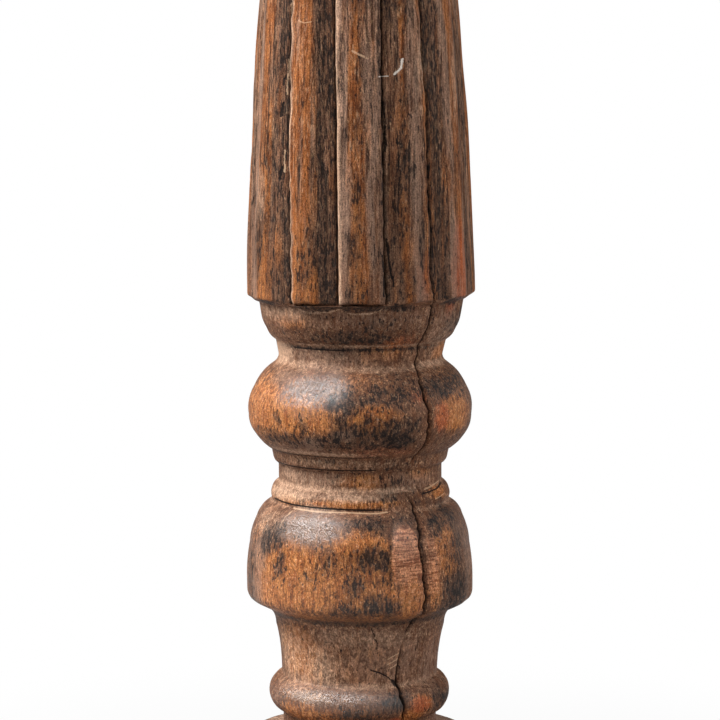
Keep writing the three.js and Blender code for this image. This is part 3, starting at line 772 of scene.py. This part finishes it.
def wood_noises(g, grain_axis):
    """The wood's patterns. Most are short on turned wood and long on reeded wood."""
    n = SimpleNamespace(carved=g.attribute("carved"), gloss=g.attribute("gloss"))

    def grain(across, along, detail, roughness):
        sizes = [across] * 3
        sizes[grain_axis] = along
        return g.stretched_noise(sizes, detail, roughness)

    def by_place(turned, reeded):
        return g.between(n.carved, grain(*turned), grain(*reeded))

    n.fibre = by_place((0.6, 1.5, 5, 0.75), (0.5, 8, 5, 0.78))
    n.thread = by_place((0.9, 9, 4, 0.7), (0.8, 34, 4, 0.65))
    n.mottle = by_place((1.5, 2.0, 5, 0.75), (1.3, 4, 5, 0.78))
    n.blotch = by_place((5.5, 7, 4, 0.65), (3.4, 15, 4, 0.65))
    n.fleck = by_place((1.0, 2.2, 3, 0.6), (0.7, 3.4, 3, 0.6))
    n.pit = by_place((0.5, 0.9, 2, 0.6), (0.4, 2.6, 2, 0.6))
    n.streak = grain(2.6, 48, 3, 0.6)
    n.grit = grain(0.34, 0.5, 1, 0.5)
    n.vein = grain(2.4, 46, 2, 0.5)
    n.ridge = grain(1.7, 26, 2, 0.5)
    n.ragged = g.blend_of((n.fibre, 0.25), (n.thread, 0.35), (n.mottle, 0.2), (n.blotch, 0.2))
    n.cloudy = g.blend_of((n.fibre, 0.2), (n.thread, 0.1), (n.mottle, 0.3), (n.blotch, 0.4))
    n.tone = g.blend_of((n.mottle, 0.35), (n.blotch, 0.35), (n.thread, 0.3))
    return n


def wood_masks(g, n):
    """Where the wood is rubbed, dirty or dusty, where shade and highlights are painted on, and where a
    thin line follows its grain: dark seams, and pale crests that are painted highlights.
    """

    def grain_line(pattern, width, presence, amount):
        gap = g.math("ABSOLUTE", g.math("SUBTRACT", pattern, 0.5))
        line = g.times(g.remap(gap, width, width * 4, 1, 0), presence)
        return g.times(line, g.times(n.carved, amount))

    dark_amount = g.math("MINIMUM", g.attribute("dark"), 0.7)
    stain = g.blend_of((n.fleck, 1), (dark_amount, 0.23), (n.blotch, 0.22), (n.carved, -0.02))
    dusty = g.blend_of((n.pit, 0.35), (n.mottle, 0.65))
    return SimpleNamespace(
        rubbed=g.cover(g.attribute("orange"), n.ragged, 4.4, 0.32),
        red=g.cover(g.attribute("red"), n.ragged, 3, 0.25),
        grey=g.cover(g.attribute("grey"), n.ragged, 4.0, 0.35),
        grime_and_shade=g.cover(g.attribute("dark"), n.cloudy, 4.2, 0.34),
        knot=g.cover(g.attribute("knot"), n.cloudy, 3.2, 0.5),
        dust_and_highlight=g.cover(g.attribute("dust_and_highlight"), dusty, 2.1, 0.5),
        specks=g.remap(stain, 0.735, 0.8),
        seam=grain_line(n.vein, 0.002, g.remap(n.blotch, 0.46, 0.56), 0.8),
        # crest: pale lines along the grain, painted highlights like the lit edges of fibres.
        crest=grain_line(n.ridge, 0.003, g.remap(n.mottle, 0.46, 0.6), 0.55),
    )


def wood_colour(g, n, masks):
    """Brown wood, orange where it is rubbed bare, under its stains and dirt, painted shade and painted
    highlights.
    """
    brown = g.mix(g.remap(n.tone, 0.38, 0.62), srgb(82, 55, 41), srgb(119, 84, 63))
    furrowed = g.mix(g.remap(n.thread, 0.4, 0.6), srgb(69, 46, 34), srgb(133, 98, 76))
    brown = g.mix(n.carved, brown, furrowed)
    brown = g.mix(g.remap(n.streak, 0.42, 0.66, 0, 0.6), brown, srgb(104, 62, 38))
    bare = g.mix(g.remap(n.thread, 0.36, 0.64), srgb(124, 67, 32), srgb(178, 116, 65))
    bare = g.mix(g.remap(n.streak, 0.45, 0.7, 0, 0.5), bare, srgb(150, 84, 38))
    bare = g.stain(bare, n.carved, 0.62, (98, 50, 22))
    colour = g.mix(masks.rubbed, brown, bare)
    colour = g.stain(colour, masks.red, 0.65, (156, 74, 42))
    # Grey: weathered and dusty wood, and on the swells' top left in part a painted highlight.
    colour = g.stain(colour, masks.grey, 0.5, (138, 112, 96))
    # Near-black brown for dirt, and for the painted shade that the dark amounts carry in places.
    soot_and_shade = g.mix(n.carved, srgb(44, 37, 34), srgb(66, 46, 34))
    colour = g.mix(g.times(masks.grime_and_shade, 0.72), colour, soot_and_shade)
    ripple = g.stretched_noise([6, 6, 0.5], 2, 0.5)
    healed = g.mix(g.remap(ripple, 0.42, 0.58), srgb(126, 70, 46), srgb(198, 136, 100))
    colour = g.mix(g.times(masks.knot, 0.72), colour, healed)

    pale = g.times(g.remap(n.pit, 0.54, 0.66), g.remap(n.mottle, 0.42, 0.62, 0.04, 0.42))
    pale = g.times(pale, g.remap(g.math("MAXIMUM", masks.grime_and_shade, n.gloss), 0, 1, 1, 0.4))
    pale = g.times(pale, g.remap(g.attribute("grey"), 0, 0.7, 1, 0.5))
    colour = g.mix(pale, colour, srgb(204, 158, 114))
    colour = g.stain(colour, masks.specks, 0.85, (26, 22, 21))
    return g.stain(colour, masks.dust_and_highlight, 0.6, (202, 166, 138))


def wood_depth(g, n, masks, shade):
    """How much the fine relief darkens and lightens the colour."""
    furrows = g.between(n.carved, n.mottle, n.thread)
    relief = g.blend_of((n.fibre, 0.5), (furrows, 0.35), (n.pit, 0.15))
    calm = g.remap(relief, 0.38, 0.62, 0.72 * shade, 1.24 * shade)
    deep = g.remap(relief, 0.38, 0.62, 0.55 * shade, 1.42 * shade)
    depth = g.between(g.math("MAXIMUM", n.carved, masks.rubbed), calm, deep)
    depth = g.times(depth, g.remap(n.grit, 0.36, 0.64, 0.7, 1.34))
    # The grey amounts, in places a painted highlight, calm the relief.
    grey_and_highlight = g.times(g.attribute("grey"), g.math("SUBTRACT", 0.45, g.times(n.carved, 0.45)))
    depth = g.between(grey_and_highlight, depth, shade)
    return g.times(depth, g.remap(n.gloss, 0, 1, 1, 0.86))


def wood_material(name, grain_axis, shade, marks=None):
    """Old, dirty, hand-rubbed hardwood, with painted shade and painted highlights. Its painted amounts
    come from the mesh's attributes.
    """
    g = new_material(name)
    n = wood_noises(g, grain_axis)
    masks = wood_masks(g, n)
    colour = g.vector("SCALE", wood_colour(g, n, masks), wood_depth(g, n, masks, shade))
    # Painted highlight: pale lines along the reeds' grain.
    colour = g.mix(masks.crest, colour, srgb(186, 146, 114))
    hollow = g.math("MAXIMUM", g.attribute("split"), g.times(g.attribute("groove"), 0.8))
    hollow = g.math("MAXIMUM", hollow, masks.seam)
    if marks:
        colour = g.stain(colour, g.lines(marks["scrapes"], n.mottle), 0.6, (204, 168, 134))
        colour = g.stain(colour, g.lines(marks["scratches"], n.mottle), 0.85, (228, 218, 206))
        hollow = g.math("MAXIMUM", hollow, g.lines(marks["cracks_and_shade_lines"], n.mottle))
    colour = g.mix(g.remap(hollow, 0.25, 0.9, 0, 0.94), colour, srgb(18, 12, 10))

    height = g.blend_of(
        (n.fibre, 0.7), (n.thread, 0.5), (n.mottle, 0.5), (n.grit, 0.3),
        (masks.specks, -0.25), (masks.seam, -0.5),
    )
    height = g.math("SUBTRACT", height, g.times(hollow, 0.4))
    height = g.math("ADD", height, g.times(masks.crest, 0.3))
    height = g.math("ADD", height, g.times(g.times(n.pit, n.gloss), 0.75))
    roughness = g.math("ADD", g.remap(n.ragged, 0.4, 0.6, 0.64, 0.5), g.times(n.gloss, -0.41))
    roughness = g.math("ADD", roughness, g.times(masks.dust_and_highlight, 0.25))
    bump = g.math("SUBTRACT", 0.85, g.times(n.gloss, 0.15))
    shine = g.math("ADD", 0.1, n.gloss)
    return g.finish(colour, roughness, height, bump, 0.5, Specular_IOR_Level=shine)


def plain_metal(name, dark, light, metal, low, high, size):
    """Metal with mottled colour and roughness, and a fine uneven skin."""
    g = new_material(name)
    mottle = g.stretched_noise([size] * 3, 4, 0.65)
    fine = g.stretched_noise([size / 9] * 3, 3, 0.6)
    colour = g.mix(g.remap(mottle, 0.38, 0.66), dark, light)
    roughness = g.remap(g.blend_of((mottle, 0.6), (fine, 0.4)), 0.35, 0.65, low, high)
    height = g.math("ADD", mottle, g.times(fine, 0.35))
    return g.finish(colour, roughness, height, 0.6, 0.25, Metallic=metal)


def leather_material():
    g = new_material("brown_leather")
    inputs = {"Vector": g.position, "Scale": 1.1 / MM, "Randomness": 1.0}
    pebbles = g.node("TexVoronoi", inputs, feature="SMOOTH_F1").outputs["Distance"]
    stain = g.stretched_noise([9, 9, 9], 3, 0.6)
    colour = g.mix(g.remap(stain, 0.35, 0.65), srgb(86, 54, 34), srgb(122, 80, 50))
    colour = g.mix(g.remap(pebbles, 0.1, 0.5, 0.35, 0), colour, srgb(52, 32, 20))
    return g.finish(colour, g.remap(pebbles, 0.1, 0.6, 0.75, 0.6), pebbles, 0.5, 0.2)


def felt_material():
    g = new_material("green_felt")
    fuzz = g.stretched_noise([0.35, 0.35, 0.35], 4, 0.7)
    clumps = g.stretched_noise([2.4, 2.4, 2.4], 3, 0.6)
    mixed = g.blend_of((fuzz, 0.6), (clumps, 0.4))
    colour = g.mix(g.remap(mixed, 0.35, 0.65), srgb(34, 48, 38), srgb(70, 86, 70))
    return g.finish(colour, 0.95, fuzz, 0.8, 0.3, Sheen_Weight=0.4, Sheen_Roughness=0.5)


def beech_material():
    g = new_material("beech_dowel")
    rays = g.stretched_noise([0.6, 0.6, 9], 4, 0.6)
    colour = g.mix(g.remap(rays, 0.35, 0.65), srgb(176, 136, 92), srgb(212, 176, 130))
    return g.finish(colour, g.remap(rays, 0.3, 0.7, 0.7, 0.55), rays, 0.5, 0.2)


# ---- plinth ----

def square_ring(half, corner, degrees):
    """Distance from the axis to a square with rounded corners, for each angle."""
    angle = np.radians(degrees)
    x, y = np.abs(np.sin(angle)), np.abs(np.cos(angle))
    flat = half / np.maximum(x, y)
    inner = half - corner
    along = inner * (x + y)
    corner_radius = along + np.sqrt(np.maximum(along ** 2 - 2 * inner ** 2 + corner ** 2, 0))
    in_corner = np.minimum(x, y) * flat > inner
    return np.where(in_corner, corner_radius, flat)


def plinth_rows():
    """The plinth's outline, from its counterbore out under a side and up to its top."""
    bore, recess_top, half = PLINTH_BORE, PLINTH_BOTTOM + 12, PLINTH_HALF
    under = [(0.5, recess_top), (bore, recess_top), (bore, PLINTH_BOTTOM), (half - 1, PLINTH_BOTTOM)]
    flank = [
        (half, PLINTH_BOTTOM + 1, 0.2), (half, PLINTH_BAND), (half - 1.6, PLINTH_BAND + 1),
        (half - 9.6, PLINTH_TOP, 2.2), (0.5, PLINTH_TOP),
    ]
    return chosen_rows(outline(under + flank, 0.35), 2.2, 0.35)


def build_plinth():
    rows = plinth_rows()
    reach = rows[:, :1] / PLINTH_HALF
    side = np.degrees(np.arctan(np.sin(np.linspace(-math.pi / 2, math.pi / 2, 61)[:-1])))
    degrees = np.concatenate([side + 90 * quarter for quarter in range(4)])
    unit = square_ring(1, PLINTH_CORNER / PLINTH_HALF, degrees)
    squareness = soft_step(rows[:, :1], PLINTH_BORE + 2, PLINTH_BORE + 20)
    radius = rows[:, :1] * (1 + (unit - 1) * squareness)
    height = rows[:, 1:] + 0 * degrees
    points = around_axis(radius, degrees, height)

    edge = soft_step(reach, 0.86, 1.0)
    warp = noise_field(points, 18, 18, 11)
    nicks = soft_step(noise_field(points, 5, 5, 12), 0.3, 0.75) * edge
    inwards = 0.25 * warp + 0.9 * nicks * soft_step(unit, 1.2, 1.36) + 0.35 * nicks
    outer = (height > PLINTH_BOTTOM + 0.4) & (height < PLINTH_TOP - 0.2) & (reach > 0.5)
    points[..., :2] *= 1 - (inwards * outer / np.maximum(radius, 1))[..., None]
    on_top = (rows[:, 1:] > PLINTH_TOP - 0.1) & (rows[:, :1] > BLANK_RADIUS + 1)
    points[..., 2] -= on_top * np.clip(0.2 * noise_field(points, 14, 14, 13), 0, 1)

    corner = soft_step(unit, 1.15, 1.38) * soft_step(reach, 0.8, 0.97)
    near_post = np.exp(-((radius - BLANK_RADIUS) / 3.5) ** 2) * (height > PLINTH_TOP - 1)
    above_band = soft_step(height, PLINTH_BAND, PLINTH_TOP)
    zero = 0 * height
    values = {
        "orange": 0.22 + 0.65 * corner + 0.4 * edge * above_band,
        "dark": 0.3 + 0.3 * near_post + 0.35 * soft_step(PLINTH_BOTTOM + 5 - height, 0, 5),
        "grey": 0.25 + zero, "red": 0.1 + zero, "knot": zero, "gloss": 0.3 + 0.4 * edge + zero,
        "dust_and_highlight": 0.75 * near_post + 0.5 * np.exp(-((height - PLINTH_BAND - 0.6) / 0.8) ** 2) * edge,
        "split": zero, "groove": zero, "carved": 0.5 + zero,
    }
    return ring_mesh("plinth_wood_block", points, values)


# ---- pan, spike, screws, pads ----

def build_pan():
    hole, flat, rim = 4.2, PAN_RADIUS - 8, PAN_RADIUS
    stations = [
        (hole, PAN_BOTTOM), (flat - 1, PAN_BOTTOM), (flat + 2.4, PAN_BOTTOM + 1.2, 0.3),
        (rim - 1.8, PAN_TOP - 2.6), (rim - 0.1, PAN_TOP - 1.3, 0.35), (rim - 1.4, PAN_TOP - 0.05, 0.5),
        (rim - 2.7, PAN_TOP - 1, 0.4), (flat + 1, PAN_FLOOR + 1), (flat - 1.4, PAN_FLOOR, -0.25),
        (hole, PAN_FLOOR),
    ]
    rows = chosen_rows(outline(stations, 0.2, 0.05), 1.3, 0.2)
    points = swept(rows, np.arange(160) * 2.25)
    beaten = noise_field(points, 6.5, 6.5, 21)
    outside = soft_step(rows[:, :1], 33, 40)
    points[..., 2] += 0.16 * beaten * outside
    points[..., :2] *= 1 + (0.28 * beaten * outside / np.maximum(rows[:, :1], 4))[..., None]
    return ring_mesh("iron_drip_pan", points)


def build_spike():
    """A long spike on a collar, with a pointed shank below."""
    floor, shank = PAN_FLOOR, 3.5
    stations = [
        (0.3, floor - 43), (1, floor - 43), (shank, floor - 36), (shank, floor), (8.3, floor),
        (8.5, floor + 1), (5.2, floor + 3.4, 0.5), (4, floor + 4.4, -0.3), (3.4, floor + 12),
        (0.35, SPIKE_TIP - 0.4), (0.15, SPIKE_TIP - 0.1),
    ]
    return turned_piece("iron_pricket_spike", stations, 48, 1.2, 0.12, dents=0.22, seed=31)


def build_screw(name, node, turn):
    """A round-head wood screw with a slot across its head."""
    tip, top = node_heights(node)
    head, shank = node_radius(node), 1.9
    stations = [
        (0.1, tip), (shank, tip + 4), (shank, PAN_FLOOR), (head - 0.1, PAN_FLOOR),
        (head - 0.3, PAN_FLOOR + 0.8), (0.1, top, 0.45),
    ]
    rows = chosen_rows(outline(stations, 0.1, 0.03), 0.5, 0.1)
    points = swept(rows, np.arange(72) * 5)
    across = points[..., 0] * math.cos(turn) + points[..., 1] * math.sin(turn)
    slot_floor = top - 1.0
    in_slot = (np.abs(across) < 0.45) & (points[..., 2] > slot_floor)
    points[..., 2] = np.where(in_slot, slot_floor, points[..., 2])
    points[..., :2] += node_centre(node)
    return ring_mesh(name, points)


def build_leather():
    low, high = node_heights("pan_leather")
    edge = node_radius("pan_leather")
    stations = [
        (0.5, low), (edge - 0.3, low), (edge, low + 0.4, 0.1), (edge, high - 0.4),
        (edge - 0.3, high, 0.1), (0.5, high),
    ]
    return turned_piece("leather_washer", stations, 96, 1.5, 0.15, dents=0.3, seed=41)


def build_pad(node):
    edge, top = node_radius(node), node_heights(node)[1]
    stations = [(0.5, 0.05), (edge - 0.5, 0.05), (edge, 0.7, 0.15), (edge, top), (0.5, top)]
    name = node.replace("felt_pad", "felt_disc")
    piece = turned_piece(name, stations, 64, 0.8, 0.15, dents=0.35, seed=len(node))
    across, back = node_centre(node)
    piece.data.transform(Matrix.Translation((across * MM, back * MM, 0)))
    return piece


# ---- stage ----

CAMERA_DISTANCE = 900
CAMERA_HEIGHT = 285
CAMERA_TILT = 6.57
LIGHT_TARGET = Vector((0, 0, 0.25))


def build_camera():
    """Looks a little down from mid-height of the candlestick, close to its lower half."""
    camera = placed("camera", bpy.data.cameras.new("camera"))
    camera.data.sensor_width = 36
    camera.data.lens = 135.9
    camera.data.clip_end = 100
    camera.location = (0, -CAMERA_DISTANCE * MM, CAMERA_HEIGHT * MM)
    camera.rotation_euler = (math.radians(90 - CAMERA_TILT), 0, 0)
    bpy.context.scene.camera = camera


def add_light(name, around, up, distance, size, power):
    """A square soft light, placed by its angles round the object and up from level, in degrees, and
    by its distance and size in metres."""
    light = placed(name, bpy.data.lights.new(name, "AREA"))
    light.data.size = size
    light.data.energy = power
    around, up = math.radians(around), math.radians(up)
    aim = -Vector((math.cos(up) * math.sin(around), -math.cos(up) * math.cos(around), math.sin(up)))
    light.location = LIGHT_TARGET - aim * distance
    light.rotation_mode = "QUATERNION"
    light.rotation_quaternion = aim.to_track_quat("-Z", "Y")


def build_floor():
    """A grey floor, which the camera sees as white away from the object."""
    reach = 12
    corners = [(-reach, -reach, 0), (reach, -reach, 0), (reach, reach, 0), (-reach, reach, 0)]
    mesh = bpy.data.meshes.new("floor")
    mesh.from_pydata(corners, [], [(0, 1, 2, 3)])
    floor = placed("floor", mesh)
    g = new_material("pale_floor")
    diffuse = g.node("BsdfDiffuse", {"Color": (0.4, 0.4, 0.4, 1)})
    glow = g.node("Emission", {"Color": (1, 1, 1, 1), "Strength": 1.0})
    seen = g.node("LightPath").outputs["Is Camera Ray"]
    distance = g.node("VectorMath", {0: g.position}, operation="LENGTH").outputs["Value"]
    share = g.times(seen, g.remap(distance, 0.1, 0.36, 0.72, 1.0))
    mixed = g.node("MixShader", {0: share, 1: diffuse.outputs[0], 2: glow.outputs[0]})
    g.node("OutputMaterial", {0: mixed.outputs[0]})
    mesh.materials.append(g.owner)


def build_world():
    """A weak light all round, which the camera sees as white."""
    world = bpy.data.worlds.new("studio")
    bpy.context.scene.world = world
    g = Graph(world)
    seen = g.node("LightPath").outputs["Is Camera Ray"]
    strength = g.node("MapRange", {"Value": seen, 3: 0.17, 4: 1.0}).outputs[0]
    light = g.node("Background", {"Color": (1, 1, 1, 1), "Strength": strength})
    g.node("OutputWorld", {0: light.outputs[0]})
    bpy.context.scene.view_settings.view_transform = "Standard"


# ---- assembly ----

build_camera()
build_floor()
build_world()
add_light("key", -80, 46, 1.6, 0.9, 60)
add_light("side", 84, 28, 1.5, 0.9, 16)
add_light("front", -5, 30, 1.6, 0.8, 3)
add_light("window", -32, 50, 1.6, 0.3, 5)

post_wood = wood_material("post_old_wood", 2, 1, MARKS)
plinth_wood = wood_material("plinth_old_wood", 0, 0.9)
iron = plain_metal("blackened_iron", srgb(36, 34, 33), srgb(74, 66, 60), 0.85, 0.4, 0.68, 7)
steel = plain_metal("dull_steel", srgb(78, 74, 70), srgb(112, 108, 102), 1.0, 0.42, 0.62, 3)
felt = felt_material()

install(build_post(), "post", post_wood)
install(build_plinth(), "plinth", plinth_wood)
install(build_pan(), "drip_pan", iron)
install(build_spike(), "pricket_spike", iron)
install(build_leather(), "pan_leather", leather_material())
for index in (1, 2, 3):
    node = f"pan_screw_{index}"
    install(build_screw(f"round_head_screw_{index}", node, index * 2.1), node, steel)
for node in [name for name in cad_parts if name.startswith("felt_pad")]:
    install(build_pad(node), node, felt)

kept = {
    "plinth_coach_screw": steel, "plinth_coach_screw_washer": steel,
    "locating_dowel_left": beech_material(), "locating_dowel_right": beech_material(),
}
for node, material in kept.items():
    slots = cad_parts[node].data.materials
    slots.clear()
    slots.append(material)
